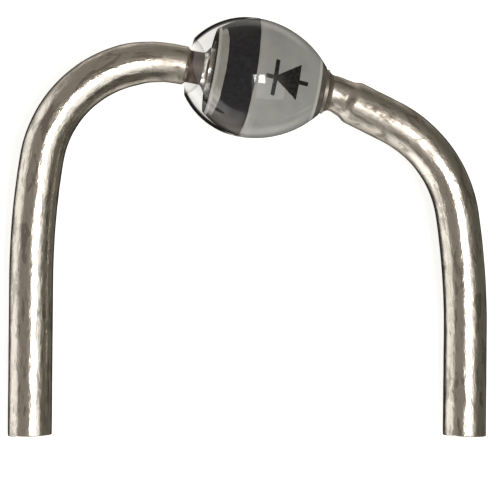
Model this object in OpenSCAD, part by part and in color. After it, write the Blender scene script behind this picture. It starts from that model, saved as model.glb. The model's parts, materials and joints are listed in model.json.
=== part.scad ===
// Axial rectifier diode: a chip between two studs, fused into a glass bead, with formed leads.
// It is modelled loose on a level surface, resting on the bead and on both lead tips.
// The legs point along -Y, the cathode is on the -X side and +Z is up.
// The origin lies on that surface, under the middle of the whole part. Sizes are in millimetres.

/* [Glass bead] */
// Diameter of the bead at its middle
bead_d = 3.5; // [3.2:0.1:4.2]
// Length of the bead from rim to rim
bead_l = 3.92; // [3.8:0.02:3.94]
// How far the bead's widest place sits from its middle, towards the cathode
belly = 0.2; // [0:0.01:0.3]
// Diameter of the flat rim at the cathode end
cathode_rim_d = 1.7; // [1.42:0.01:1.8]
// Diameter of the flat rim at the anode end
anode_rim_d = 1.45; // [1.42:0.01:1.6]
// Width of each flat rim
rim_w = 0.025; // [0.01:0.005:0.03]
// Depth of the dished end around the cathode lead
cathode_dish = 0.36; // [0.3:0.01:0.4]
// Depth of the dished end around the anode lead
anode_dish = 0.05; // [0.03:0.01:0.06]

/* [Cathode band] */
// Distance from the middle of the bead to the near edge of the band
band_from = 0.175; // [0.1:0.005:0.4]
// Width of the band along the bead
band_w = 0.895; // [0.6:0.005:1.1]
// Thickness of the baked band, which lies flush in the glass
band_t = 0.06; // [0.04:0.01:0.1]

/* [Chip and studs] */
// Diameter of the silicon chip at its wide face
chip_d = 1.44; // [1.4:0.02:1.7]
// Thickness of the chip
chip_t = 0.26; // [0.2:0.01:0.32]
// How far the chip's edge slopes in towards the anode
chip_slope = 0.1; // [0.05:0.01:0.2]
// Thickness of the metal bond on each face of the chip
bond_t = 0.03; // [0.02:0.005:0.04]
// Diameter of the molybdenum studs
stud_d = 1.3; // [1.2:0.02:1.3]
// Length of each stud
stud_l = 1.5; // [1.4:0.01:1.5]
// How far the chip and studs sit from the middle of the bead, towards the anode
stack_shift = 0.24; // [0.2:0.01:0.25]
// Thickness of the braze between a stud and its lead
braze_t = 0.04; // [0.02:0.01:0.06]
// Length of the cone of braze around the root of the cathode lead
cathode_cone = 0.14; // [0.08:0.01:0.14]
// Length of braze that stands straight around the root of the anode lead
anode_collar = 0.12; // [0.04:0.01:0.14]
// Length of the cone of braze beyond that
anode_cone = 0.16; // [0.08:0.01:0.2]

/* [Leads] */
// Diameter of the tinned copper wire
wire_d = 1.27; // [1.2:0.01:1.35]
// Distance between the two legs, centre to centre
lead_pitch = 12.7; // [12.7:0.02:15.24]
// Diameter of the necked root of the cathode lead
cathode_neck_d = 0.94; // [0.85:0.01:1]
// Diameter of the necked root of the anode lead
anode_neck_d = 1.04; // [0.95:0.01:1.15]
// How far the cathode lead keeps its necked diameter outside the bead
cathode_neck_out = 0.05; // [0.02:0.01:0.06]
// How far the anode lead keeps its necked diameter outside the bead, before its slight bend
anode_neck_out = 0.28; // [0.28:0.01:0.36]
// Length of the shoulder where the cathode lead leaves its neck
cathode_shoulder = 0.1; // [0.06:0.01:0.11]
// Diameter at the end of that shoulder
cathode_shoulder_d = 1.16; // [1.04:0.01:1.18]
// Length of the slow shoulder where the anode lead leaves its neck
anode_shoulder = 0.2; // [0.1:0.01:0.3]
// Diameter at the end of that shoulder
anode_shoulder_d = 1.08; // [1.06:0.01:1.18]
// Length over which the cathode lead swells from its shoulder to the full wire
cathode_swell = 0.22; // [0.12:0.01:0.23]
// Length over which the anode lead swells from its shoulder to the full wire
anode_swell = 0.3; // [0.2:0.01:0.6]
// Angle of the slight bend at the root of the anode lead
anode_kink = 16; // [8:0.5:17]
// Radius of that slight bend
anode_kink_r = 0.8; // [0.8:0.1:1.5]
// Radius of the main bend of the cathode lead
cathode_bend_r = 3.34; // [2.2:0.02:3.34]
// Radius of the main bend of the anode lead
anode_bend_r = 3.62; // [2.4:0.02:4.2]
// Angle of the last, wide part of each bend
soft_turn = 9; // [6:0.5:9]
// Radius of that wide part
soft_r = 22; // [14:0.5:22]
// How much thinner than the wire its radius is where it was bent hardest
bend_thin = 0.01; // [0.006:0.002:0.02]

/* [Forming] */
// Height of the bead's middle above the lead tips, measured along the legs
bead_height = 10.36; // [10.3:0.01:14]
// Distance of the bead's middle from the midline between the legs, towards the anode
bead_offset = 0.09; // [0.08:0.01:0.2]
// Slope of the bead between the legs, with the cathode end nearer to the bend
bead_slope = 9.5; // [6:0.5:9.5]

/* [Hidden] */
$fn = 96;

bead_r = bead_d / 2;
cathode_rim_r = cathode_rim_d / 2;
anode_rim_r = anode_rim_d / 2;
wire_r = wire_d / 2;
stud_r = stud_d / 2;
chip_r = chip_d / 2;
cathode_neck_r = cathode_neck_d / 2;
anode_neck_r = anode_neck_d / 2;
cathode_shoulder_r = cathode_shoulder_d / 2;
anode_shoulder_r = anode_shoulder_d / 2;
bead_end = bead_l / 2;

// How far a thinner stretch of wire runs on inside a thicker one
lap = 0.05;

// The bead's side is two arcs that meet smoothly at its belly and end at the rims
function side_arc(rim_r, reach) = (pow(bead_r - rim_r, 2) + pow(reach, 2)) / (2 * (bead_r - rim_r));
cathode_arc_r = side_arc(cathode_rim_r, bead_end - belly);
anode_arc_r = side_arc(anode_rim_r, bead_end + belly);

// Places along the bead's axis, from the middle of the bead and positive towards the anode
chip_face = chip_t / 2;
bond_face = chip_face + bond_t;
stud_face = bond_face + stud_l;
braze_face = stud_face + braze_t;

// Necked length of each lead, from its brazed face to where it swells or bends
cathode_neck_l = bead_end + cathode_neck_out - braze_face + stack_shift;
anode_neck_l = bead_end + anode_neck_out - braze_face - stack_shift;

// An arc of radius r that takes a lead from heading a to heading b, both in degrees above level:
// how far it goes outwards, and how far it climbs
function arc_out(r, a, b) = r * (sin(a) - sin(b));
function arc_up(r, a, b) = r * (cos(b) - cos(a));

// Headings of the two leads before their main bend, and of both after it
cathode_heading = bead_slope;
anode_heading = -bead_slope - anode_kink;
leg_heading = soft_turn - 90;

// Where each necked root ends: outwards from the midline, and up from the lead tips
cathode_root_s = braze_face - stack_shift + cathode_neck_l;
anode_root_s = braze_face + stack_shift + anode_neck_l;
cathode_root = [cathode_root_s * cos(bead_slope) - bead_offset,
                bead_height + cathode_root_s * sin(bead_slope)];
anode_root = [anode_root_s * cos(bead_slope) + bead_offset + arc_out(anode_kink_r, -bead_slope, anode_heading),
              bead_height - anode_root_s * sin(bead_slope) + arc_up(anode_kink_r, -bead_slope, anode_heading)];

// Straight wire between a root and its main bend, which brings the leg to its place in the pitch
function run_to_bend(root, heading, r) =
    (lead_pitch / 2 - root[0] - arc_out(r, heading, leg_heading) - arc_out(soft_r, leg_heading, -90))
    / cos(heading);
cathode_rise = cathode_shoulder + cathode_swell;
anode_rise = anode_shoulder + anode_swell;
cathode_run = run_to_bend(cathode_root, cathode_heading, cathode_bend_r) - cathode_rise;
anode_run = run_to_bend(anode_root, anode_heading, anode_bend_r) - anode_rise;

// Straight leg between the last bend and the tip
function leg_length(root, heading, run, r) =
    root[1] + run * sin(heading) + arc_up(r, heading, leg_heading) + arc_up(soft_r, leg_heading, -90);
cathode_leg = leg_length(cathode_root, cathode_heading, cathode_run + cathode_rise, cathode_bend_r);
anode_leg = leg_length(anode_root, anode_heading, anode_run + anode_rise, anode_bend_r);

// Lying at rest, the plane of the leads rises from the tips to the belly of the bead
belly_height = bead_height + belly * sin(bead_slope);
lie = asin(bead_r / norm([belly_height, wire_r])) - atan2(wire_r, belly_height);
tip_z = wire_r * cos(lie);

// The farthest point of the bead along Y, and of the lead tips, set the middle of the part
arc_lean = asin(cos(lie) * sin(bead_slope));
far_y = belly_height * cos(lie) + cathode_arc_r - (cathode_arc_r - bead_r) * cos(arc_lean);
near_y = -wire_r * sin(lie);

// The plane of the leads as it lies: its own X is across, its own Y runs from the tips to the bead
module lying() {
    translate([0, -(far_y + near_y) / 2, tip_z]) rotate([lie, 0, 0]) children();
}

// The bead's frame: its own Z is the bead's axis, from the cathode to the anode
module on_bead() {
    lying() translate([bead_offset, bead_height, 0]) rotate([0, 0, -bead_slope]) rotate([0, 90, 0]) children();
}

// The frame of the chip and studs, which sit a little nearer to the anode
module on_stack() {
    on_bead() translate([0, 0, stack_shift]) children();
}

// One half of the bead's long section, from its belly to a rim, inside its arc by the depth given
module half_section_to_rim(arc_r, reach, inset) {
    intersection() {
        translate([bead_r - arc_r, 0]) circle(r = arc_r - inset, $fn = 180);
        square([bead_r, reach]);
    }
}

// Half of the bead's long section
module half_section(inset) {
    translate([0, -belly]) {
        half_section_to_rim(anode_arc_r, bead_end + belly, inset);
        mirror([0, 1]) half_section_to_rim(cathode_arc_r, bead_end - belly, inset);
    }
}

// The ring of the band, in the bead's frame
module band_ring() {
    rotate_extrude($fn = 120) {
        intersection() {
            difference() {
                half_section(0);
                half_section(band_t);
            }
            translate([0, -band_from - band_w]) square([bead_r, band_w]);
        }
    }
}

// A spherical dish at the +Z end of the bead, from the inside of its rim down to the metal at radius r
module end_dish(rim_r, r, depth) {
    mouth = rim_r - rim_w;
    centre = (mouth * mouth - r * r - depth * depth) / (2 * depth);
    translate([0, 0, bead_end + centre]) sphere(r = norm([mouth, centre]));
}

// Chip, with its wide face to the cathode
module chip_solid() {
    translate([0, 0, -chip_face]) cylinder(r1 = chip_r, r2 = chip_r - chip_slope, h = chip_t);
}

// Bond disc, stud and braze on the +Z side of the chip
module bond_solid(r) {
    translate([0, 0, chip_face]) cylinder(r = r, h = bond_t);
}

module stud_solid() {
    translate([0, 0, bond_face]) cylinder(r = stud_r, h = stud_l);
}

module braze_solid(neck_r, collar, cone) {
    translate([0, 0, stud_face]) {
        rotate_extrude() {
            polygon([[0, 0], [stud_r, 0], [stud_r, braze_t + collar], [neck_r, braze_t + collar + cone],
                     [neck_r, braze_t], [0, braze_t]]);
        }
    }
}

// Necked root of a lead on the +Z side, out to the end of its necked length
module neck_solid(neck_r, length) {
    translate([0, 0, braze_face]) cylinder(r = neck_r, h = length);
}

// The same side of the stack, turned to the cathode
module to_cathode() {
    mirror([0, 0, 1]) children();
}

cathode_bond_r = stud_r;
anode_bond_r = min(stud_r, chip_r - chip_slope);

// Everything that the glass is fused around
module fused_in() {
    chip_solid();
    bond_solid(anode_bond_r);
    stud_solid();
    braze_solid(anode_neck_r, anode_collar, anode_cone);
    neck_solid(anode_neck_r, anode_neck_l);
    to_cathode() {
        bond_solid(cathode_bond_r);
        stud_solid();
        braze_solid(cathode_neck_r, 0, cathode_cone);
        neck_solid(cathode_neck_r, cathode_neck_l);
    }
}

// A straight of wire along +X, and its far end
module wire(length, r1, r2) {
    rotate([0, 90, 0]) cylinder(r1 = r1, r2 = r2, h = length);
}

module after_wire(length) {
    translate([length, 0, 0]) children();
}

// A bend of wire towards -Y, lapped into the thicker wire before and after it, and its far end
module bend(r, turn, thickness_r, lap_before, lap_after) {
    before = lap_before / r * 180 / PI;
    after = lap_after / r * 180 / PI;
    translate([0, -r, 0]) rotate([0, 0, 90 - turn - after]) {
        rotate_extrude(angle = before + turn + after, $fn = 180) {
            translate([r, 0]) circle(r = thickness_r, $fn = 48);
        }
    }
}

module after_bend(r, turn) {
    translate([0, -r, 0]) rotate([0, 0, -turn]) translate([0, r, 0]) children();
}

// Shoulder, swell, straight, main bend, wide bend and leg, which both leads have in that order
module formed_end(neck_r, shoulder, shoulder_r, swell, run, bend_r, turn, leg) {
    wire(shoulder, neck_r + bend_thin, shoulder_r);
    after_wire(shoulder) wire(swell, shoulder_r, wire_r);
    after_wire(shoulder + swell) wire(run, wire_r, wire_r);
    after_wire(shoulder + swell + run) {
        bend(bend_r, turn, wire_r - bend_thin, lap, lap);
        after_bend(bend_r, turn) {
            bend(soft_r, soft_turn, wire_r - bend_thin / 2, 0, lap);
            after_bend(soft_r, soft_turn) wire(leg, wire_r, wire_r);
        }
    }
}

module glass_bead() {
    color("#a8a8a0") on_bead() {
        difference() {
            rotate_extrude($fn = 120) half_section(0);
            band_ring();
            end_dish(anode_rim_r, stud_r, anode_dish);
            mirror([0, 0, 1]) end_dish(cathode_rim_r, cathode_neck_r, cathode_dish);
            translate([0, 0, stack_shift]) fused_in();
        }
    }
}

module cathode_band() {
    color("#26262b") on_bead() band_ring();
}

module silicon_chip() {
    color("#4c5058") on_stack() chip_solid();
}

module cathode_bond() {
    color("#b9b4a8") on_stack() to_cathode() bond_solid(cathode_bond_r);
}

module anode_bond() {
    color("#b9b4a8") on_stack() bond_solid(anode_bond_r);
}

module cathode_stud() {
    color("#8f9296") on_stack() to_cathode() stud_solid();
}

module anode_stud() {
    color("#8f9296") on_stack() stud_solid();
}

module cathode_braze() {
    color("#6d5f50") on_stack() to_cathode() braze_solid(cathode_neck_r, 0, cathode_cone);
}

module anode_braze() {
    color("#6d5f50") on_stack() braze_solid(anode_neck_r, anode_collar, anode_cone);
}

module cathode_lead() {
    color("#9a9286") {
        on_stack() to_cathode() neck_solid(cathode_neck_r, cathode_neck_l + lap);
        lying() mirror([1, 0, 0]) translate(cathode_root) rotate([0, 0, cathode_heading]) {
            formed_end(cathode_neck_r, cathode_shoulder, cathode_shoulder_r, cathode_swell, cathode_run,
                       cathode_bend_r, cathode_heading - leg_heading, cathode_leg);
        }
    }
}

module anode_lead() {
    color("#9a9286") {
        on_stack() neck_solid(anode_neck_r, anode_neck_l);
        lying() translate(anode_root) rotate([0, 0, anode_heading]) {
            formed_end(anode_neck_r, anode_shoulder, anode_shoulder_r, anode_swell, anode_run,
                       anode_bend_r, anode_heading - leg_heading, anode_leg);
        }
        on_stack() translate([0, 0, braze_face + anode_neck_l]) rotate([0, -90, 0]) {
            bend(anode_kink_r, anode_kink, anode_neck_r - bend_thin / 2, lap, lap);
        }
    }
}

glass_bead();
cathode_band();
silicon_chip();
cathode_bond();
anode_bond();
cathode_stud();
anode_stud();
cathode_braze();
anode_braze();
cathode_lead();
anode_lead();
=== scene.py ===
"""Axial rectifier diode with formed leads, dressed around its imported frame.

Everything is in metres and in the frame's own place. The part lies on the floor, on its bead and on
both lead tips, with the legs pointing along -Y and the cathode on the -X side.
"""
import json
import math

import bmesh
import bpy
from mathutils import Matrix, Vector, noise


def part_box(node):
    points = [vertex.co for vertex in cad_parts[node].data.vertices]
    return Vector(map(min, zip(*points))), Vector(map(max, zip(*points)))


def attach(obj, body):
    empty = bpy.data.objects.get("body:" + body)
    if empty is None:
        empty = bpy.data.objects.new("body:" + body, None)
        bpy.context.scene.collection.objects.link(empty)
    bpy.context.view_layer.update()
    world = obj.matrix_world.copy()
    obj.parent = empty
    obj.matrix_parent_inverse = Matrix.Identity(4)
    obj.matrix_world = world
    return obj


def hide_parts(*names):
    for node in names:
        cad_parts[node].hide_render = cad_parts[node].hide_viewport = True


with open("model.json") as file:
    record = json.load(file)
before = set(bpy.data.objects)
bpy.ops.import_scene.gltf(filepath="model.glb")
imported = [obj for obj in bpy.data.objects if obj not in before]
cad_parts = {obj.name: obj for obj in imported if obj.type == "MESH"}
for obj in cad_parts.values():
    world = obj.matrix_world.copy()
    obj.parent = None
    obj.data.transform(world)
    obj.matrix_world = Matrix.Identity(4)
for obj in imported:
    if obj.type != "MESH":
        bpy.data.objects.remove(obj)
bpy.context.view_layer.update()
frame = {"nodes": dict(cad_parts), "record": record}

bl_info = {
    "name": "Axial rectifier diode",
    "version": (1, 0, 0),
    "blender": (4, 5, 0),
    "location": "View3D > Sidebar > Diode",
    "description": "Dresses the packed frame of a glass-bead rectifier diode with formed leads",
    "category": "Object",
}

MM = 0.001
BODY = "root"
LEAD_STEP = 0.035 * MM      # length of a step along each lead
LEAD_STEPS = 96             # points round each lead
TIP_REACH = 1.2 * MM        # how far before its tip a lead's end starts to slant
TIP_ROUND = 0.03 * MM       # radius of the tip's edge
BEAD_STEPS = 192            # points round the bead, its clear end and the brazes
BAND_STEPS = 240            # points round the band
GLASS_GAP = 0.002 * MM      # clearance between the glass and the metal in it
GREY_ROUND = 0.09 * MM      # radius of the grey glass's edge under the clear glass
CLEAR_BITE = 0.004 * MM     # how far the clear glass runs into the metal it is fused to
SKIN_SINK = 0.004 * MM      # how far the clear skin stays under the bead's full round
SKIN_STEP = 0.0005 * MM     # least thickness of that skin
SKIN_SHORT = 0.015 * MM     # how far it stays short of the band's near edge
MARK_FACE = 0.001 * MM      # how far the mark's face stays under the full round
MARK_BACK = 0.012 * MM      # how far its back does
INK_ROOT = 0.004 * MM       # how far the band's edges start inside the grey glass
INK_BACK = 0.02 * MM        # how far its back lies inside that glass
INK_EDGE = 0.02 * MM        # width of its rounded edges
INK_SHORT = 0.002 * MM      # how far its face stays short of the clear skin's underside
DISH_STEPS = 24             # steps from the mouth of a dish to the metal
ROUND_STEPS = 120           # steps along the bead
CLEAR_STEPS = 80            # steps along the clear glass, on each side
MARK_ROWS = 24              # steps across the polarity mark

# each light: tilts to the right and down in degrees, distance and sizes in mm, and tint
LIGHTS = (
    ("key", (9.5, 3.4), 140.0, (36.0, 36.0), (1.0, 0.98, 0.94)),
    ("fill", (21.0, 15.0), 55.0, (43.0, 48.0), (0.95, 0.99, 1.0)),
)

# the polarity mark, from the band's side on: mm along the bead, and half its width there
MARK_OUTLINE = ((0.08, 0.06), (0.30, 0.06), (0.305, 0.52), (0.42, 0.52), (0.425, 0.08), (1.08, 0.52),
                (1.085, 0.06), (1.36, 0.06))


# ---------------------------------------------------------------- sizes and colours

def amount(name, description, default, unit, precision=4):
    """A number that a user may change."""
    return bpy.props.FloatProperty(name=name, description=description, default=default, unit=unit,
                                   precision=precision)


def length(name, description, default):
    """A length, given in millimetres and kept in metres."""
    return amount(name, description, default * MM, "LENGTH", 6)


def angle(name, description, default):
    """An angle, given in degrees and kept in radians."""
    return bpy.props.FloatProperty(name=name, description=description, default=math.radians(default),
                                   subtype="ANGLE")


def colour(name, description, default, top=1.0):
    """A plain colour, or a glow where top is above one."""
    return bpy.props.FloatVectorProperty(name=name, description=description, default=default,
                                         subtype="COLOR", min=0.0, max=top)


class DiodeForm(bpy.types.PropertyGroup):
    """Sizes of the bead, the stack inside it and the leads."""
    bead_diameter: length("Bead diameter", "Diameter at its widest", 3.5)
    bead_length: length("Bead length", "Length from rim to rim", 3.92)
    belly: length("Belly", "Widest place, from the bead's middle towards the cathode", 0.2)
    cathode_rim: length("Cathode rim", "Outer radius of its flat rim", 0.85)
    anode_rim: length("Anode rim", "Outer radius of its flat rim", 0.725)
    rim_width: length("Rim width", "Width of both flat rims", 0.025)
    cathode_dish: length("Cathode dish", "Depth of the dish around the cathode lead", 0.36)
    anode_dish: length("Anode dish", "Depth of the dish around the anode lead", 0.05)
    clear_depth: length("Clear depth", "Depth of clear glass over the grey's end", 0.19)
    clear_start: length("Clear start", "Where the grey starts to sink, from the middle", 0.1)
    clear_from: length("Grey end", "Where the grey glass ends, from the middle", 1.34)
    band_from: length("Band from", "Near edge of the band, from the middle", 0.175)
    band_width: length("Band width", "Width of the band along the bead", 0.895)
    stack_shift: length("Stack shift", "How far the chip and studs sit towards the anode", 0.24)
    chip_radius: length("Chip radius", "Radius of the chip at its wide face", 0.72)
    chip_thickness: length("Chip thickness", "Thickness of the chip", 0.26)
    bond_thickness: length("Bond thickness", "Metal bond on each face of the chip", 0.03)
    stud_radius: length("Stud radius", "Radius of the studs", 0.65)
    stud_length: length("Stud length", "Length of each stud", 1.5)
    braze_thickness: length("Braze thickness", "Braze between a stud and its lead", 0.04)
    cathode_cone: length("Cathode braze cone", "Cone of braze around the cathode lead", 0.14)
    anode_collar: length("Anode braze collar", "Braze standing straight around the anode lead", 0.12)
    anode_cone: length("Anode braze cone", "Cone of braze beyond that", 0.16)
    wire_radius: length("Wire radius", "Radius of the tinned wire", 0.635)
    cathode_neck: length("Cathode neck", "Radius of its necked root", 0.47)
    anode_neck: length("Anode neck", "Radius of its necked root", 0.52)
    cathode_neck_out: length("Cathode neck out", "Necked length outside the bead", 0.05)
    anode_neck_out: length("Anode neck out", "Necked length outside the bead", 0.28)
    cathode_shoulder: length("Cathode shoulder", "Length of the shoulder beyond the neck", 0.1)
    cathode_shoulder_radius: length("Cathode shoulder radius", "Radius at the end of that shoulder", 0.58)
    anode_shoulder: length("Anode shoulder", "Length of the slow shoulder beyond the neck", 0.2)
    anode_shoulder_radius: length("Anode shoulder radius", "Radius at the end of that shoulder", 0.54)
    cathode_swell: length("Cathode swell", "Unit of the slow swell to the full wire", 0.22)
    anode_swell: length("Anode swell", "Length of the swell to the full wire", 0.3)
    kink_radius: length("Kink radius", "Slight bend at the anode lead's root", 0.8)
    kink_angle: angle("Kink angle", "Angle of that slight bend", 16.0)
    cathode_bend: length("Cathode bend", "Radius of its main bend", 3.34)
    anode_bend: length("Anode bend", "Radius of its main bend", 3.62)
    soft_radius: length("Wide bend", "Radius of the last, wide part of each bend", 22.0)
    soft_angle: angle("Wide bend angle", "Angle of that wide part", 9.0)
    tin_depth: length("Tin waviness", "Depth of the waves in the dipped tin", 0.006)
    ink_height: length("Ink height", "Room for the ink, over the grey and under the skin", 0.006)


class DiodeColours(bpy.types.PropertyGroup):
    """Base colours of the finishes."""
    glass: colour("Glass", "Filled grey glass of the bead", (0.36, 0.36, 0.34))
    # painted shade: the dark at the anode rim and the dark ring around the cathode stud
    rim: colour("Anode rim", "Thin glass, dark with the metal behind it", (0.095, 0.085, 0.073))
    clear: colour("Clear glass", "Clear glass at the cathode end", (0.975, 0.97, 0.96))
    # painted refraction: the dark tint on the clear glass's steep edges, seen by camera rays
    clear_edge_painted_dark: colour("Clear edge", "What is seen through its steep edges", (0.04, 0.038, 0.036))
    band: colour("Band", "Baked black ink of the cathode band", (0.016, 0.016, 0.020))
    # painted reflection: the brown tone on the band's side towards the legs
    band_painted_reflection: colour("Thin band", "That ink where the print runs out", (0.115, 0.095, 0.082))
    mark: colour("Mark", "Ink of the polarity mark", (0.012, 0.0115, 0.011))
    tin: colour("Tin", "Dipped tin on the leads", (0.72, 0.66, 0.585))
    root: colour("Root", "Browned copper between the braze and the tin", (0.15, 0.115, 0.095))
    tin_shadow: colour("Tin shadow", "Dull, oxidised patches of the tin", (0.27, 0.235, 0.20))
    braze: colour("Braze", "Bright braze under the clear glass", (1.0, 0.97, 0.92))
    dull_braze: colour("Dull braze", "Oxidised braze at the anode's root", (0.42, 0.37, 0.31))
    molybdenum: colour("Molybdenum", "Studs", (0.62, 0.61, 0.59))
    silicon: colour("Silicon", "Chip", (0.17, 0.18, 0.20))
    bond: colour("Bond", "Aluminium bonds", (0.75, 0.74, 0.71))


class DiodeStudio(bpy.types.PropertyGroup):
    """Floor, light and camera."""
    floor: colour("Floor", "Plain pale floor", (0.93, 0.93, 0.92))
    surround: colour("Surround", "Dim surroundings that the metal mirrors", (0.27, 0.25, 0.225))
    side_glow: colour("Side glow", "Pale surroundings on the cathode side", (1.25, 1.26, 1.24), 4.0)
    inner_glow: colour("Inner glow", "Brightest part, facing the anode lead's bend", (2.1, 2.12, 2.1), 4.0)
    side_dark: colour("Side dark", "Darker surroundings on the anode side", (0.125, 0.123, 0.10))
    low_glow: colour("Low glow", "Paper around the part, ahead of it and behind", (0.80, 0.77, 0.71))
    low_dark: colour("Low dark", "Shade under the part's outer edges", (0.035, 0.033, 0.028))
    camera_distance: length("Camera distance", "Distance from the part", 70.0)
    camera_yaw: angle("Camera yaw", "How far it stands towards the cathode side", 7.0)
    camera_roll: angle("Camera roll", "Turn about its own axis", 0.54)
    aim_across: length("Aim across", "Point aimed at, across from the midline of the legs", -0.035)
    aim_along: length("Aim along", "Point aimed at, along the legs from the lead tips", 5.394)
    focal: amount("Lens", "Focal length of the lens", 173.78, "CAMERA")
    key_power: amount("Key power", "Power of the key light", 0.06, "POWER")
    fill_power: amount("Fill power", "Power of the soft fill light", 0.007, "POWER")


# ---------------------------------------------------------------- places, taken from the frame

class Place:
    """Where the part lies, and the bead's own axis."""

    def __init__(self):
        f = form()
        pin = next(m for m in frame["record"]["mounts"] if m["name"] == "cathode_pin")
        along = -Vector(pin["axis"]).normalized()
        across = Vector((1.0, 0.0, 0.0))
        out = across.cross(along)
        low = Vector(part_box("cathode_lead")[0])
        self.half_pitch = Vector(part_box("anode_lead")[1]).x - f.wire_radius
        sink = f.wire_radius * abs(along.z)
        self.origin = Vector((0.0, low.y + sink, f.wire_radius * along.y))
        self.plane = Matrix((across, along, out)).transposed().to_4x4()
        self.plane.translation = self.origin
        self.directions = across, along, out
        # both studs lie on the bead's axis, at equal distances from the middle of the stack
        near, far = (sum((Vector(p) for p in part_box(node)), Vector()) / 2
                     for node in ("cathode_stud", "anode_stud"))
        axis = (self.plane.to_3x3().inverted() @ (far - near)).normalized()
        side = Vector((0.0, 0.0, 1.0)).cross(axis)
        self.slope = -math.atan2(axis.y, axis.x)
        self.bead_radius = f.bead_diameter / 2
        self.belly = -f.belly
        self.arcs = []              # radius of the side's arc towards the cathode, and towards the anode
        for rim, reach in ((f.cathode_rim, f.bead_length / 2 - f.belly),
                           (f.anode_rim, f.bead_length / 2 + f.belly)):
            drop = self.bead_radius - rim
            self.arcs.append((drop ** 2 + reach ** 2) / (2 * drop))
        self.centre = self.plane.inverted() @ ((near + far) / 2) - axis * f.stack_shift
        bead = Matrix((axis, side, Vector((0.0, 0.0, 1.0)))).transposed().to_4x4()
        bead.translation = self.centre
        self.bead = self.plane @ bead

    def side_radius(self, s):
        """Radius of the bead's outside at s along its axis."""
        arc = self.arcs[0] if s < self.belly else self.arcs[1]
        return self.bead_radius - arc + math.sqrt(arc ** 2 - (s - self.belly) ** 2)

    def grey_radius(self, s):
        """Radius of the grey glass at s: under the clear skin towards the cathode, bare elsewhere."""
        f = form()
        cover = max(0.0, (-s - f.clear_start) / (f.clear_from - f.clear_start))
        return self.side_radius(s) - 1.5 * f.ink_height - f.clear_depth * cover ** 1.2


def form():
    return bpy.context.scene.diode_form


def colours():
    return bpy.context.scene.diode_colours


def studio():
    return bpy.context.scene.diode_studio


def stud_end():
    """Distance from the middle of the chip to the far end of a stud."""
    f = form()
    return f.chip_thickness / 2 + f.bond_thickness + f.stud_length


# ---------------------------------------------------------------- meshes

def new_object(name, vertices, faces, places, smooth_angle=35.0):
    """A mesh object whose flat faces are joined smoothly, with each point's own place kept on it."""
    mesh = bpy.data.meshes.new(name)
    mesh.from_pydata([tuple(v) for v in vertices], [], faces)
    mesh.update()
    layer = mesh.attributes.new("place", "FLOAT_VECTOR", "POINT")
    layer.data.foreach_set("vector", [c for p in places for c in p])
    tidy = bmesh.new()
    tidy.from_mesh(mesh)
    bmesh.ops.recalc_face_normals(tidy, faces=tidy.faces)
    limit = math.radians(smooth_angle)
    for face in tidy.faces:
        face.smooth = True
    for edge in tidy.edges:
        edge.smooth = not (len(edge.link_faces) == 2 and edge.calc_face_angle(0.0) > limit)
    tidy.to_mesh(mesh)
    tidy.free()
    piece = bpy.data.objects.new(name, mesh)
    bpy.context.scene.collection.objects.link(piece)
    return piece


def stitch(rings):
    """Faces between equal rings of points, and a fan at each end that is a single point."""
    faces = []
    for a, b in zip(rings, rings[1:]):
        for i in range(max(len(a), len(b))):
            corners = a[i % len(a)], a[(i + 1) % len(a)], b[(i + 1) % len(b)], b[i % len(b)]
            faces.append(tuple(dict.fromkeys(corners)))
    return faces


def revolve(name, place, profile, steps=BEAD_STEPS, radial=None):
    """A closed solid of revolution about the bead's axis, from a closed or axis-to-axis profile of (s, r)."""
    tiny = 1e-9
    vertices, places, rings = [], [], []
    for s, r in profile:
        ring = []
        for i in range(steps if r > tiny else 1):
            turn = 2 * math.pi * i / steps
            reach, shift = (r, 0.0) if radial is None or r <= tiny else radial(s, r, turn)
            point = Vector((s + shift, reach * math.cos(turn), reach * math.sin(turn)))
            ring.append(len(vertices))
            vertices.append(place.bead @ point)
            places.append(tuple(v / MM for v in point))
        rings.append(ring)
    if profile[0][1] > tiny:
        rings.append(rings[0])
    return new_object(name, vertices, stitch(rings), places)


def spread(start, end, count):
    """Even values from start to end."""
    return [start + (end - start) * i / count for i in range(count + 1)]


def ease(t):
    """A smooth step from 0 to 1."""
    t = min(max(t, 0.0), 1.0)
    return t * t * (3 - 2 * t)


# ---------------------------------------------------------------- leads

class LeadLine:
    """A lead's centre line in the plane of the leads, from its brazed end to its tip."""

    def __init__(self, place, side, neck, kink, main_radius, brazed_s, widths):
        f = form()
        self.place, self.side, self.widths = place, side, widths
        self.heading = -place.slope * side
        self.travelled = 0.0
        self.point = Vector((place.centre.x * side, place.centre.y)) + self.ahead() * brazed_s
        self.stations = [(0.0, self.point, self.heading)]       # distance along the wire, point, heading
        self.run(neck)
        if kink:
            self.bend(f.kink_radius, kink)
        leg_heading = f.soft_angle - math.pi / 2
        reach = (main_radius * (math.sin(self.heading) - math.sin(leg_heading))
                 + f.soft_radius * (math.sin(leg_heading) + 1))
        self.run((place.half_pitch - self.point.x - reach) / math.cos(self.heading))
        self.bend_start = self.travelled
        self.bend(main_radius, self.heading - leg_heading)
        self.bend_end = self.travelled
        self.bend(f.soft_radius, f.soft_angle)
        self.run(self.point.y)

    def ahead(self, turn=0.0):
        return Vector((math.cos(self.heading - turn), math.sin(self.heading - turn)))

    def bend(self, radius, turn):
        self.run(radius * turn, turn)

    def run(self, distance, turn=0.0):
        """Short steps along the wire, straight or turning evenly."""
        count = max(3 if turn else 2, round(distance / LEAD_STEP))
        part, step = turn / count, distance / count
        chord = 2 * step / part * math.sin(part / 2) if turn else step
        for i in range(count):
            self.point = self.point + self.ahead(part / 2) * chord
            self.heading -= part
            self.travelled += step
            self.stations.append((self.travelled, self.point, self.heading))

    def radius(self, distance):
        """Radius of the wire, eased between the widths given as (distance, radius)."""
        for (d0, r0), (d1, r1) in zip(self.widths, self.widths[1:]):
            if distance <= d1:
                return r0 + (r1 - r0) * ease((distance - d0) / (d1 - d0))
        return self.widths[-1][1]


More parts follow.
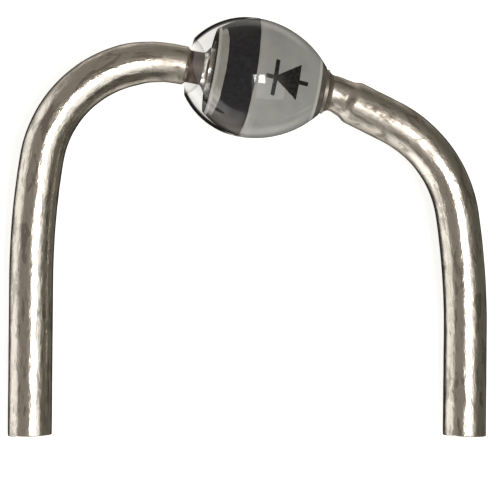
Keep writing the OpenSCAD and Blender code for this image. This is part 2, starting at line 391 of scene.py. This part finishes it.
def tin_relief(x, turn, seed, rough):
    """Depth of the tin's waves, lumps and draw lines, from 0 to 1, at x mm along the wire."""
    c, s = math.cos(turn), math.sin(turn)
    slow = noise.noise(Vector((x * 0.55 + seed, c * 0.9, s * 0.9)))
    lump = noise.noise(Vector((x * 1.5, c * 1.6 + seed, s * 1.6)))
    blot = noise.noise(Vector((x * 3.6, c * 2.7, s * 2.7 + seed)))
    drawn = noise.noise(Vector((x * 0.35, c * 5.5 + seed, s * 5.5)))
    depth = 0.5 + 0.3 * slow + 0.28 * lump + rough * 0.3 * blot + 0.1 * drawn
    return min(max(depth, 0.0), 1.3)


def make_lead(name, line, seed, tip_tilt):
    """One lead as a swept skin: necked root, swell, bends, leg and a sheared tip."""
    f, place = form(), line.place
    root_radius = line.widths[0][1]
    across, along, out = place.directions
    vertices, places, rings = [], [], []

    def station(here, radius_at, back_at):
        """A ring of points across the wire; back_at says how far each one is drawn back along it."""
        distance, point, heading = here
        centre = place.origin + across * (point.x * line.side) + along * point.y
        forward = across * (math.cos(heading) * line.side) + along * math.sin(heading)
        side = across * (-math.sin(heading) * line.side) + along * math.cos(heading)
        ring = []
        for i in range(LEAD_STEPS):
            turn = 2 * math.pi * i / LEAD_STEPS
            radius = radius_at(turn)
            a, b = radius * math.cos(turn), radius * math.sin(turn)
            ring.append(len(vertices))
            vertices.append(centre + side * a + out * b - forward * back_at(turn, a, b))
            places.append((distance / MM, a / MM, b / MM))
        rings.append(ring)

    def sheared(tilt, pull=0.0):
        return lambda turn, a, b: tilt * (0.5 - 0.5 * math.cos(turn)) + pull

    def skin(distance):
        rough = 1.0 + 1.6 * ease(1.0 - (distance - line.bend_start) / (2.2 * MM))
        bent = ease((distance - line.bend_start) / (1.2 * MM)) * ease((line.bend_end - distance) / (1.2 * MM))
        base = line.radius(distance)
        depth = f.tin_depth * (0.35 + 0.65 * ease((base - root_radius) / (f.wire_radius - root_radius)))

        def radius_at(turn):
            oval = 0.009 * bent * math.cos(turn) ** 2
            return base * (1 - oval) - depth * tin_relief(distance / MM, turn, seed, rough)
        return radius_at

    def centre_point(here, back=0.0):
        distance, point = here[:2]
        rings.append([len(vertices)])
        vertices.append(place.origin + across * (point.x * line.side) + along * (point.y + back))
        places.append((distance / MM, 0.0, 0.0))

    root, tip = line.stations[0], line.stations[-1]
    centre_point(root)
    for share in (0.35, 0.7):
        station(root, lambda turn: root_radius * share, sheared(0.0))
    for here in line.stations[:-1]:
        left = line.travelled - here[0]
        if left >= 2 * TIP_ROUND:
            station(here, skin(here[0]), sheared(tip_tilt * ease(1 - left / TIP_REACH)))
    full = skin(tip[0])
    for a in spread(0.0, math.pi / 2, 6):
        station(tip, lambda turn: full(turn) - TIP_ROUND * (1 - math.cos(a)),
                sheared(tip_tilt, TIP_ROUND * (1 - math.sin(a))))
    for share in (0.93, 0.84, 0.72, 0.58, 0.44, 0.3, 0.16):
        def torn_back(turn, a, b):
            torn = noise.noise(Vector((a / MM * 5, b / MM * 5, seed)))
            fold = math.exp(-((b / MM + 0.12) / 0.09) ** 2)
            return (tip_tilt * (0.5 - 0.5 * math.cos(turn) * share)
                    + (0.006 + 0.008 * torn + 0.022 * fold * (1 - share)) * MM)
        station(tip, lambda turn: full(turn) * share, torn_back)
    centre_point(tip, TIP_ROUND + tip_tilt / 2)
    return new_object(name, vertices, stitch(rings), places, smooth_angle=50.0)


# ---------------------------------------------------------------- materials

class Nodes:
    """A node tree, with short ways to add and join its nodes."""

    def __init__(self, tree):
        self.tree = tree
        tree.nodes.clear()

    def node(self, kind, **settings):
        made = self.tree.nodes.new(kind)
        for key, value in settings.items():
            setattr(made, key, value)
        return made

    def join(self, source, target):
        if isinstance(source, bpy.types.NodeSocket):
            self.tree.links.new(source, target)
        else:
            target.default_value = source

    def feed(self, made, **values):
        """Values or links on a node's own sockets, named with underscores for spaces."""
        for key, value in values.items():
            self.join(value, made.inputs[key.replace("_", " ")])

    def fit(self, value, low, high, to_low=0.0, to_high=1.0):
        """A value moved smoothly from one range to another."""
        made = self.node("ShaderNodeMapRange", interpolation_type="SMOOTHSTEP")
        self.feed(made, Value=value, From_Min=low, From_Max=high, To_Min=to_low, To_Max=to_high)
        return made.outputs["Result"]

    def sums(self, operation, a, b=0.0):
        made = self.node("ShaderNodeMath", operation=operation)
        self.join(a, made.inputs[0])
        self.join(b, made.inputs[1])
        return made.outputs[0]

    def plus(self, a, b):
        return self.sums("ADD", a, b)

    def times(self, a, b):
        return self.sums("MULTIPLY", a, b)

    def rest(self, a):
        """What is left of one."""
        return self.sums("SUBTRACT", 1.0, a)

    def mix(self, share, a, b):
        """A colour between a and b, each a socket or a plain colour."""
        made = self.node("ShaderNodeMix", data_type="RGBA")
        self.join(share, made.inputs[0])
        for socket, value in ((made.inputs[6], a), (made.inputs[7], b)):
            self.join(value if isinstance(value, bpy.types.NodeSocket) else (*value, 1.0), socket)
        return made.outputs[2]

    def coat(self, under, over, value, low, high, share=1.0):
        """One colour laid over another where a value runs from low to high."""
        return self.mix(self.times(self.fit(value, low, high), share), under, over)


class Finish(Nodes):
    """A material, with short ways to read a piece's own places and to set the shader."""

    def __init__(self, name):
        self.material = bpy.data.materials.new(name)
        self.material.use_nodes = True
        super().__init__(self.material.node_tree)
        self.shader = self.node("ShaderNodeBsdfPrincipled")
        self.output = self.node("ShaderNodeOutputMaterial")
        self.join(self.shader.outputs["BSDF"], self.output.inputs["Surface"])

    def set(self, **values):
        self.feed(self.shader, **values)

    def place(self, stretch=(1.0, 1.0, 1.0), attribute="place"):
        """The points' own place in millimetres, stretched for grain."""
        if attribute:
            source = self.node("ShaderNodeAttribute", attribute_name=attribute).outputs["Vector"]
            scale = stretch
        else:
            source = self.node("ShaderNodeTexCoord").outputs["Object"]
            scale = tuple(k / MM for k in stretch)
        mapping = self.node("ShaderNodeMapping")
        self.feed(mapping, Vector=source, Scale=scale)
        return mapping.outputs["Vector"]

    def parts(self, where):
        """The place along the piece, and the two across it."""
        made = self.node("ShaderNodeSeparateXYZ")
        self.join(where, made.inputs[0])
        return made.outputs

    def around(self, where):
        """Distance from the piece's own axis."""
        y, z = self.parts(where)[1:3]
        return self.sums("SQRT", self.plus(self.times(y, y), self.times(z, z)))

    def grain(self, where, scale, detail=4.0, roughness=0.55, distortion=0.0):
        made = self.node("ShaderNodeTexNoise")
        self.feed(made, Vector=where, Scale=scale, Detail=detail, Roughness=roughness, Distortion=distortion)
        return made.outputs["Fac"]

    def bump(self, height, distance):
        made = self.node("ShaderNodeBump")
        self.feed(made, Strength=1.0, Distance=distance, Height=height)
        self.set(Normal=made.outputs["Normal"])


def shade(c, k):
    """A colour made darker or lighter."""
    return tuple(min(1.0, v * k) for v in c)


def tin_finish(name, root, worn_from):
    """Dipped tin over drawn copper: blotchy, duller near its root, with pits and faint draw lines."""
    c = colours()
    made = Finish(name)
    where = made.place()
    far = made.parts(where)[0]
    drawn = made.grain(made.place((0.25, 1.0, 1.0)), 9.0, detail=5.0, roughness=0.6)
    streaks = made.grain(made.place((0.3, 1.0, 1.0)), 4.2, distortion=0.3)
    blots = made.grain(made.place((0.7, 1.0, 1.0)), 3.2, detail=6.0, roughness=0.62, distortion=0.4)
    specks = made.grain(where, 13.0, detail=3.0, roughness=0.7)
    dull = made.fit(blots, 0.48, 0.70)
    tin = made.mix(made.times(dull, 0.3), c.tin, c.tin_shadow)
    tin = made.coat(tin, shade(c.tin_shadow, 0.8), drawn, 0.5, 0.72, 0.15)
    tin = made.coat(tin, c.tin_shadow, streaks, 0.5, 0.6, 0.6)
    tin = made.coat(tin, shade(c.tin_shadow, 0.6), specks, 0.62, 0.74, 0.3)
    rough = made.fit(made.plus(blots, made.times(specks, 0.5)), 0.5, 1.05, 0.15, 0.27)
    # worn and rough near the root, in patches
    near = made.fit(made.plus(far, made.times(blots, 2.0)), *worn_from)
    tin = made.mix(made.times(near, made.plus(made.times(dull, 0.6), 0.2)), tin, c.tin_shadow)
    rough = made.plus(rough, made.times(near, made.plus(made.times(dull, 0.24), 0.18)))
    bare = made.fit(far, root + 0.04, root - 0.04)
    tin = made.mix(bare, tin, c.root)
    rough = made.plus(rough, made.times(bare, 0.2))
    made.set(Base_Color=tin, Metallic=1.0, Roughness=rough)
    waves = made.plus(made.plus(made.times(drawn, 0.35), streaks), blots)
    made.bump(made.plus(waves, made.times(specks, 0.25)), 0.013 * MM)
    return made.material


def braze_finish(name, base, rough):
    """Slightly rippled braze."""
    made = Finish(name)
    ripple = made.grain(made.place(), 6.0, detail=3.0)
    tint = made.coat(base, shade(base, 0.7), ripple, 0.35, 0.7)
    made.set(Base_Color=tint, Metallic=1.0, Roughness=made.fit(ripple, 0.3, 0.7, rough, rough + 0.12))
    made.bump(ripple, 0.012 * MM)
    return made.material


def metal_finish(name, base, grain_scale, rough_low, rough_high, metallic=1.0):
    """A plain metal or semiconductor for a piece that keeps its own solid."""
    made = Finish(name)
    fine = made.grain(made.place(attribute=None), grain_scale)
    tint = made.coat(base, shade(base, 0.72), fine, 0.35, 0.7)
    made.set(Base_Color=tint, Metallic=metallic, Roughness=made.fit(fine, 0.3, 0.7, rough_low, rough_high))
    made.bump(fine, 0.004 * MM)
    return made.material


def glass_finish():
    """Filled grey glass with faint seeds and a glossy skin, paler over its cathode half, with a painted
    highlight line and painted shade at the anode rim, and painted light on its end under the clear glass
    around a painted dark ring of shade at the stud.
    """
    c = colours()
    made = Finish("fused_glass")
    where = made.place()
    s = made.parts(where)[0]
    cloud = made.grain(where, 1.6, detail=5.0, roughness=0.6)
    seeds = made.grain(where, 21.0, detail=2.0)
    tint = made.coat(shade(c.glass, 1.05), shade(c.glass, 0.90), cloud, 0.3, 0.75)
    tint = made.coat(tint, shade(c.glass, 0.72), seeds, 0.62, 0.74, 0.3)
    tint = made.coat(tint, shade(c.glass, 1.3), s, 0.1, -0.05, 0.25)
    # a painted highlight line before the anode rim, then the rim painted dark as shade
    tint = made.coat(tint, shade(c.glass, 1.8), s, 1.66, 1.72, 0.65)
    tint = made.coat(tint, c.rim, s, 1.76, 1.80)
    # painted light where it ends under the clear glass, but for a painted dark ring of shade around the stud
    end = made.fit(s, -1.22, -1.28)
    tint = made.mix(end, tint, shade(c.glass, 1.35))
    tint = made.mix(made.times(end, made.fit(made.around(where), 0.86, 0.80)), tint, c.rim)
    made.set(Base_Color=tint, Roughness=made.fit(cloud, 0.3, 0.7, 0.045, 0.075), IOR=1.52,
             Specular_IOR_Level=0.75)
    made.bump(cloud, 0.001 * MM)
    return made.material


def clear_finish():
    """Clear glass: seen through, and mirroring more and more towards its edges, which camera rays also see
    with a painted dark tint.
    """
    c = colours()
    made = Finish("clear_glass")
    where = made.place()
    flow = made.grain(where, 2.2, detail=3.0)
    made.set(Base_Color=made.mix(flow, (1.0, 1.0, 1.0), (0.97, 0.97, 0.97)), Metallic=1.0, Roughness=0.03)
    through = made.node("ShaderNodeBsdfTransparent")
    tint = made.coat(c.clear, shade(c.clear, 0.97), flow, 0.3, 0.7)
    # painted dark edges, for camera rays only: a painted stand-in for the dark surroundings that thick, steep
    # glass bends into view
    steep = made.node("ShaderNodeLayerWeight")
    steep.inputs["Blend"].default_value = 0.5
    edge = made.node("ShaderNodeLightPath").outputs["Is Camera Ray"]
    for value, low, high in ((steep.outputs["Facing"], 0.58, 0.72), (made.parts(where)[0], -0.3, -0.75),
                             (made.around(where), 0.84, 0.88)):
        edge = made.times(edge, made.fit(value, low, high))
    made.join(made.mix(edge, tint, c.clear_edge_painted_dark), through.inputs["Color"])
    mirror = made.node("ShaderNodeFresnel")
    mirror.inputs["IOR"].default_value = 1.5
    front = made.rest(made.node("ShaderNodeNewGeometry").outputs["Backfacing"])
    both = made.node("ShaderNodeMixShader")
    made.join(made.times(mirror.outputs[0], front), both.inputs[0])
    made.join(through.outputs[0], both.inputs[1])
    made.join(made.shader.outputs[0], both.inputs[2])
    made.join(both.outputs[0], made.output.inputs["Surface"])
    return made.material


def band_finish():
    """Baked ink of the band: near black, with a painted brown reflection on its side towards the legs."""
    c = colours()
    made = Finish("band_ink")
    where = made.place()
    print_grain = made.grain(where, 7.0, detail=5.0, roughness=0.65)
    # painted reflection: brown on the band's side towards the legs
    low_side_reflection = made.fit(made.plus(made.parts(where)[1], made.times(print_grain, 0.35)), -0.75, -1.45)
    tint = made.coat(c.band, shade(c.band, 1.9), print_grain, 0.35, 0.75)
    tint = made.mix(made.times(low_side_reflection, 0.75), tint, c.band_painted_reflection)
    made.set(Base_Color=tint, Roughness=made.fit(print_grain, 0.3, 0.7, 0.4, 0.6), Specular_IOR_Level=0.05)
    made.bump(print_grain, 0.002 * MM)
    return made.material


def mark_finish():
    """Printed ink, a little uneven."""
    c = colours()
    made = Finish("mark_ink")
    fine = made.grain(made.place(), 11.0, roughness=0.7)
    tint = made.coat(c.mark, shade(c.mark, 3.2), fine, 0.4, 0.75)
    made.set(Base_Color=tint, Roughness=0.2, Specular_IOR_Level=0.3)
    made.bump(fine, 0.002 * MM)
    return made.material


def dress(piece, material, slot, *nodes):
    """Gives a new piece its finish, and its place on the part."""
    piece.data.materials.append(material)
    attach(piece, BODY)
    if nodes:
        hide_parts(*nodes)


# ---------------------------------------------------------------- one operator for each group of pieces

class DIODE_OT_leads(bpy.types.Operator):
    """Makes both tinned leads, from their brazed roots to their sheared tips"""
    bl_idname = "diode.leads"
    bl_label = "Leads"

    def execute(self, context):
        f, place = form(), Place()
        braze_face = stud_end() + f.braze_thickness
        half = f.bead_length / 2
        # the cathode lead: a quick shoulder, then a long, slow swell to the full wire
        brazed = braze_face - f.stack_shift
        neck = half + f.cathode_neck_out - brazed
        shoulder, swell, wide = neck + f.cathode_shoulder, f.cathode_swell, f.cathode_shoulder_radius
        widths = [(neck, f.cathode_neck), (shoulder, wide - 0.02 * MM),
                  (shoulder + 2.2 * swell, wide - 0.01 * MM),
                  (shoulder + 4.3 * swell, wide + 0.015 * MM),
                  (shoulder + 7.5 * swell, f.wire_radius - 0.004 * MM),
                  (shoulder + 12 * swell, f.wire_radius)]
        cathode = LeadLine(place, -1, neck, 0.0, f.cathode_bend, brazed, widths)
        tin = tin_finish("tinned_cathode_wire", neck / MM + 0.02, (3.0, 2.195))
        dress(make_lead("cathode_lead_tinned", cathode, 3.1, 0.05 * MM), tin, "tinned_wire", "cathode_lead")
        # the anode lead: a slight kink at its root, then a shorter swell
        brazed = braze_face + f.stack_shift
        neck = half + f.anode_neck_out - brazed
        kinked = neck + f.kink_radius * f.kink_angle
        shoulder = kinked + f.anode_shoulder
        widths = [(kinked, f.anode_neck), (shoulder, f.anode_shoulder_radius),
                  (shoulder + f.anode_swell, f.wire_radius)]
        anode = LeadLine(place, 1, neck, f.kink_angle, f.anode_bend, brazed, widths)
        tin = tin_finish("tinned_anode_wire", neck / MM - 0.05, (6.192, 3.392))
        dress(make_lead("anode_lead_tinned", anode, 7.7, 0.03 * MM), tin, "tinned_wire", "anode_lead")
        return {"FINISHED"}


class DIODE_OT_brazes(bpy.types.Operator):
    """Makes the rippled cones of braze around the roots of the leads"""
    bl_idname = "diode.brazes"
    bl_label = "Brazes"

    def execute(self, context):
        f, c, place = form(), colours(), Place()
        bright = braze_finish("bright_braze", c.braze, 0.12)
        dull = braze_finish("dull_braze", c.dull_braze, 0.42)
        for node, material, side, neck, collar, cone in (
                ("cathode_braze", bright, -1, f.cathode_neck, 0.0, f.cathode_cone),
                ("anode_braze", dull, 1, f.anode_neck, f.anode_collar, f.anode_cone)):
            start = stud_end() + side * f.stack_shift
            face = start + f.braze_thickness
            lip = face + collar
            profile = [(start, 0.0), (start, neck), (start, f.stud_radius), (lip, f.stud_radius)]
            for t in spread(0.0, 1.0, 10)[1:]:
                # a fillet, a little hollow between the collar's edge and the wire
                sag = 0.015 * MM * math.sin(math.pi * t)
                profile.append((lip + cone * t - sag, f.stud_radius + (neck - f.stud_radius) * t - sag))
            profile += [(face, neck), (face, 0.0)]
            piece = revolve(node + "_cone", place, [(side * s, r) for s, r in profile])
            dress(piece, material, "braze", node)
        return {"FINISHED"}


def dish_profile(mouth, bottom, depth):
    """A spherical dish from its mouth's radius to its bottom's, as (distance in from the rim, radius)."""
    centre = (mouth * mouth - bottom * bottom - depth * depth) / (2 * depth)
    radius = math.hypot(mouth, centre)
    return [(math.sqrt(radius * radius - r * r) - centre, r) for r in spread(mouth, bottom, DISH_STEPS)]


class DIODE_OT_bead(bpy.types.Operator):
    """Makes the grey glass of the bead, fused around the studs and the chip"""
    bl_idname = "diode.bead"
    bl_label = "Grey glass bead"

    def execute(self, context):
        f, place = form(), Place()
        half = f.bead_length / 2
        bore, pocket = f.stud_radius + GLASS_GAP, f.chip_radius + GLASS_GAP
        reach = f.chip_thickness / 2 + GLASS_GAP
        grey_end = -f.clear_from
        straight = grey_end + GREY_ROUND
        top = place.grey_radius(straight)
        profile = [(straight - GREY_ROUND * math.sin(a), top - GREY_ROUND * (1 - math.cos(a)))
                   for a in spread(math.pi / 2, 0.0, 8)[:-1]]
        profile += [(s, place.grey_radius(s)) for s in spread(straight, half, ROUND_STEPS)]
        mouth = place.grey_radius(half) - f.rim_width
        profile += [(half - inward, r) for inward, r in dish_profile(mouth, bore, f.anode_dish)]
        profile += [(f.stack_shift + reach, bore), (f.stack_shift + reach, pocket),
                    (f.stack_shift - reach, pocket), (f.stack_shift - reach, bore),
                    (grey_end, bore), (grey_end, (place.grey_radius(grey_end) + bore) / 2)]

        def softened(s, r, turn):
            # drawn a little unevenly, never outside its full round
            if r < f.chip_radius + 0.05 * MM:
                return r, 0.0
            wave = noise.noise(Vector((s / MM * 0.8, math.cos(turn) * 0.9, math.sin(turn) * 0.9 + 4.2)))
            keep = 1.0 - abs(s) / half
            return r - 0.0015 * MM * (0.5 + 0.5 * wave) * (0.2 + 0.8 * ease(keep * 3)), 0.0
        piece = revolve("glass_bead_body", place, profile, radial=softened)
        dress(piece, glass_finish(), "fused_glass", "glass_bead")
        return {"FINISHED"}


class DIODE_OT_clear_end(bpy.types.Operator):
    """Makes the clear glass around the stud and braze at the cathode end"""
    bl_idname = "diode.clear_end"
    bl_label = "Clear cathode end"

    def execute(self, context):
        f, place = form(), Place()
        half = f.bead_length / 2
        near, start = f.band_from + SKIN_SHORT, f.clear_from + CLEAR_BITE
        face = stud_end() - f.stack_shift + f.braze_thickness
        profile = [(s, place.side_radius(-s) - SKIN_SINK) for s in spread(near, half, CLEAR_STEPS)]
        mouth = place.side_radius(-half) - f.rim_width
        profile += [(half - inward, r)
                    for inward, r in dish_profile(mouth, f.cathode_neck - CLEAR_BITE, f.cathode_dish)]
        profile += [(face - CLEAR_BITE, f.stud_radius - CLEAR_BITE), (start, f.stud_radius - CLEAR_BITE)]
        # the skin runs back over the grey and the band, thinner and thinner
        for s in spread(start, near, CLEAR_STEPS):
            under = place.grey_radius(-s) + f.ink_height
            profile.append((s, min(under, place.side_radius(-s) - SKIN_SINK - SKIN_STEP)))
        piece = revolve("clear_glass_end", place, [(-s, r) for s, r in profile])
        dress(piece, clear_finish(), "fused_glass")
        return {"FINISHED"}


class DIODE_OT_band(bpy.types.Operator):
    """Makes the baked cathode band, with its slightly uneven printed edges"""
    bl_idname = "diode.band"
    bl_label = "Cathode band"

    def execute(self, context):
        f, place = form(), Place()
        near, far = -f.band_from, -f.band_from - f.band_width
        quarter = spread(0.0, math.pi / 2, 5)
        stations = [(far + INK_EDGE * (1 - math.cos(a)), math.sin(a)) for a in quarter]
        stations += [(s, 1.0) for s in spread(far + INK_EDGE, near - INK_EDGE, 40)[1:]]
        stations += [(near - INK_EDGE * (1 - math.sin(a)), math.cos(a)) for a in quarter[1:]]
        height = INK_ROOT + f.ink_height - INK_SHORT
        profile = [(s, place.grey_radius(s) - INK_ROOT + height * k) for s, k in stations]
        profile += [(s, place.grey_radius(s) - INK_BACK) for s in spread(near, far, 20)]

        def wave(turn, wide, fine, seeds):
            return sum(size * noise.noise(Vector((math.cos(turn) * k, math.sin(turn) * k, seed)))
                       for size, k, seed in ((1.0, wide, seeds[0]), (0.4, fine, seeds[1])))

        def uneven(s, r, turn):
            far_share = (near - s) / f.band_width
            shift = 0.022 * MM * (wave(turn, 2.2, 7.0, (1.3, 5.3)) * far_share
                                  + wave(turn, 2.0, 8.0, (8.8, 2.3)) * (1 - far_share))
            # the print flares towards the cathode low on the bead's sides
            side = 1 - max(math.sin(turn), 0.0)
            shift -= MM * (far_share * (0.17 * side - 0.03) + (1 - far_share) * (0.06 * side + 0.02))
            return r + place.grey_radius(s + shift) - place.grey_radius(s), shift
        piece = revolve("cathode_band_ink", place, profile, BAND_STEPS, uneven)
        dress(piece, band_finish(), "band_ink", "cathode_band")
        return {"FINISHED"}


class DIODE_OT_mark(bpy.types.Operator):
    """Makes the printed polarity mark, a plain diode symbol whose bar faces the band"""
    bl_idname = "diode.mark"
    bl_label = "Polarity mark"

    def execute(self, context):
        place = Place()
        columns = []
        for (s0, w0), (s1, w1) in zip(MARK_OUTLINE, MARK_OUTLINE[1:]):
            count = max(1, round((s1 - s0) / 0.02))
            columns += [(s0 + (s1 - s0) * i / count, w0 + (w1 - w0) * i / count) for i in range(count)]
        columns.append(MARK_OUTLINE[-1])
        vertices, places, rings = [], [], []
        for s, w in columns:
            full = place.side_radius(s * MM)
            face, back = [], []
            for row, radius in ((face, full - MARK_FACE), (back, full - MARK_BACK)):
                for t in spread(-1.0, 1.0, MARK_ROWS):
                    across = w * t * (1 + 0.03 * noise.noise(Vector((s * 9, t * 3, 2.0))))
                    turn = math.pi / 2 + across * MM / full
                    row.append(len(vertices))
                    point = Vector((s * MM, radius * math.cos(turn), radius * math.sin(turn)))
                    vertices.append(place.bead @ point)
                    places.append((s, across, 0.0))
            rings.append(face + back[::-1])
        faces = stitch(rings)
        for ring in (rings[0], rings[-1]):
            faces += [(ring[j], ring[j + 1], ring[-j - 2], ring[-j - 1]) for j in range(MARK_ROWS)]
        piece = new_object("polarity_mark", vertices, faces, places)
        dress(piece, mark_finish(), "band_ink")
        return {"FINISHED"}


class DIODE_OT_stack(bpy.types.Operator):
    """Gives the chip, its bonds and the studs their own finishes; their solids stay as they are"""
    bl_idname = "diode.stack"
    bl_label = "Chip and studs"

    def execute(self, context):
        c = colours()
        finishes = {
            "silicon_chip": metal_finish("silicon", c.silicon, 9.0, 0.2, 0.35, metallic=0.6),
            "cathode_bond": metal_finish("bond_metal", c.bond, 16.0, 0.25, 0.4),
            "cathode_stud": metal_finish("molybdenum", c.molybdenum, 12.0, 0.22, 0.36),
        }
        finishes["anode_bond"] = finishes["cathode_bond"]
        finishes["anode_stud"] = finishes["cathode_stud"]
        for node, material in finishes.items():
            for slot in frame["nodes"][node].material_slots:
                slot.material = material
        return {"FINISHED"}


class DIODE_OT_stage(bpy.types.Operator):
    """Sets the floor, the lights, the surroundings and the camera"""
    bl_idname = "diode.stage"
    bl_label = "Stage"

    def execute(self, context):
        scene, st, place = context.scene, studio(), Place()
        self.floor(scene, st)
        right, along, out = place.directions
        target = place.plane @ Vector((st.aim_across, st.aim_along, 0.0))
        yaw = st.camera_yaw
        camera = bpy.data.objects.new("camera", bpy.data.cameras.new("camera"))
        camera.location = target + st.camera_distance * (out * math.cos(yaw) - right * math.sin(yaw))
        camera.data.lens = st.focal
        camera.data.sensor_width = 36.0
        camera.data.clip_start = 0.001
        camera.data.clip_end = 10.0
        forward = (target - camera.location).normalized()
        side = forward.cross(along).normalized()
        turn = Matrix((side, side.cross(forward), -forward)).transposed()
        camera.rotation_euler = (turn @ Matrix.Rotation(st.camera_roll, 3, "Z")).to_euler()
        scene.collection.objects.link(camera)
        scene.camera = camera
        for (name, tilts, distance, sizes, tint), power in zip(LIGHTS, (st.key_power, st.fill_power)):
            lamp = bpy.data.objects.new(name, bpy.data.lights.new(name, "AREA"))
            lamp.data.shape = "RECTANGLE"
            lamp.data.size, lamp.data.size_y = (size * MM for size in sizes)
            lamp.data.energy, lamp.data.color = power, tint
            # it shines at the target, with its width level
            aside, down = (math.tan(math.radians(tilt)) for tilt in tilts)
            back = (out + right * aside - along * down).normalized()
            wide = (right - back * right.dot(back)).normalized()
            lamp.location = target + back * distance * MM
            lamp.rotation_euler = Matrix((wide, back.cross(wide), back)).transposed().to_euler()
            lamp.visible_camera = False
            scene.collection.objects.link(lamp)
        self.surroundings(scene, st, place.directions)
        scene.view_settings.view_transform = "Standard"
        return {"FINISHED"}

    def floor(self, scene, st):
        mesh = bpy.data.meshes.new("floor")
        reach = 600.0 * MM
        mesh.from_pydata([(x * reach, y * reach, 0.0) for x, y in ((-1, -1), (1, -1), (1, 1), (-1, 1))],
                         [], [(0, 1, 2, 3)])
        ground = bpy.data.objects.new("floor", mesh)
        scene.collection.objects.link(ground)
        made = Finish("floor")
        haze = made.grain(made.place(attribute=None, stretch=(0.02, 0.02, 0.02)), 1.0)
        tint = made.mix(haze, st.floor, shade(st.floor, 0.985))
        made.set(Base_Color=tint, Roughness=0.9, Emission_Color=(*st.floor, 1.0), Emission_Strength=0.78)
        mesh.materials.append(made.material)
        ground.visible_glossy = False

    def surroundings(self, scene, st, directions):
        """Dim room: pale low on the cathode side, dark on the anode side, paper and shade below."""
        scene.world = bpy.data.worlds.new("surroundings")
        scene.world.use_nodes = True
        made = Nodes(scene.world.node_tree)
        where = made.node("ShaderNodeTexCoord").outputs["Generated"]

        def share(direction):
            dot = made.node("ShaderNodeVectorMath", operation="DOT_PRODUCT")
            made.join(where, dot.inputs[0])
            made.join(direction, dot.inputs[1])
            return dot.outputs["Value"]

        def most(a, b):
            return made.sums("MAXIMUM", a, b)

        aside, ahead, above = (share(direction) for direction in directions)
        lengthwise = made.fit(made.sums("ABSOLUTE", ahead), 0.45, 0.75)
        inner = made.plus(made.times(aside, -0.8), made.times(ahead, -0.6))
        pale = made.times(most(made.fit(inner, 0.60, 0.76), made.fit(aside, -0.62, -0.80)),
                          made.times(made.fit(above, -0.66, -0.54), made.fit(above, 0.32, 0.18)))
        paper = made.times(made.fit(above, -0.3, -0.5), lengthwise)
        shade_below = made.times(made.fit(above, -0.62, -0.76), made.rest(lengthwise))
        low = made.plus(made.times(aside, 0.5), made.times(ahead, -0.87))
        dim = most(most(aside, made.times(inner, -1.0)), low)
        seen = made.mix(made.fit(dim, 0.6, 0.95), st.surround, st.side_dark)
        seen = made.mix(pale, seen, st.side_glow)
        seen = made.mix(made.times(pale, made.fit(inner, 0.84, 0.95)), seen, st.inner_glow)
        seen = made.mix(paper, seen, st.low_glow)
        seen = made.mix(shade_below, seen, st.low_dark)
        seen = made.mix(made.node("ShaderNodeLightPath").outputs["Is Camera Ray"], seen, st.floor)
        back = made.node("ShaderNodeBackground")
        made.feed(back, Color=seen)
        made.join(back.outputs[0], made.node("ShaderNodeOutputWorld").inputs[0])


OPERATORS = (DIODE_OT_leads, DIODE_OT_brazes, DIODE_OT_bead, DIODE_OT_clear_end, DIODE_OT_band, DIODE_OT_mark,
             DIODE_OT_stack, DIODE_OT_stage)


class VIEW3D_PT_diode(bpy.types.Panel):
    """Lists the steps that dress the diode, and the sizes and colours that they use"""
    bl_label = "Axial diode"
    bl_space_type = "VIEW_3D"
    bl_region_type = "UI"
    bl_category = "Diode"

    def draw(self, context):
        for step in OPERATORS:
            self.layout.operator(step.bl_idname)
        for group in (form(), colours(), studio()):
            box = self.layout.box()
            for key in group.bl_rna.properties.keys():
                if key not in ("rna_type", "name"):
                    box.prop(group, key)


CLASSES = (DiodeForm, DiodeColours, DiodeStudio) + OPERATORS + (VIEW3D_PT_diode,)


def register():
    for cls in CLASSES:
        bpy.utils.register_class(cls)
    bpy.types.Scene.diode_form = bpy.props.PointerProperty(type=DiodeForm)
    bpy.types.Scene.diode_colours = bpy.props.PointerProperty(type=DiodeColours)
    bpy.types.Scene.diode_studio = bpy.props.PointerProperty(type=DiodeStudio)


def unregister():
    del bpy.types.Scene.diode_form, bpy.types.Scene.diode_colours, bpy.types.Scene.diode_studio
    for cls in reversed(CLASSES):
        bpy.utils.unregister_class(cls)


def main():
    register()
    for step in OPERATORS:
        getattr(bpy.ops.diode, step.bl_idname.split(".")[1])()


if __name__ == "__main__":
    main()
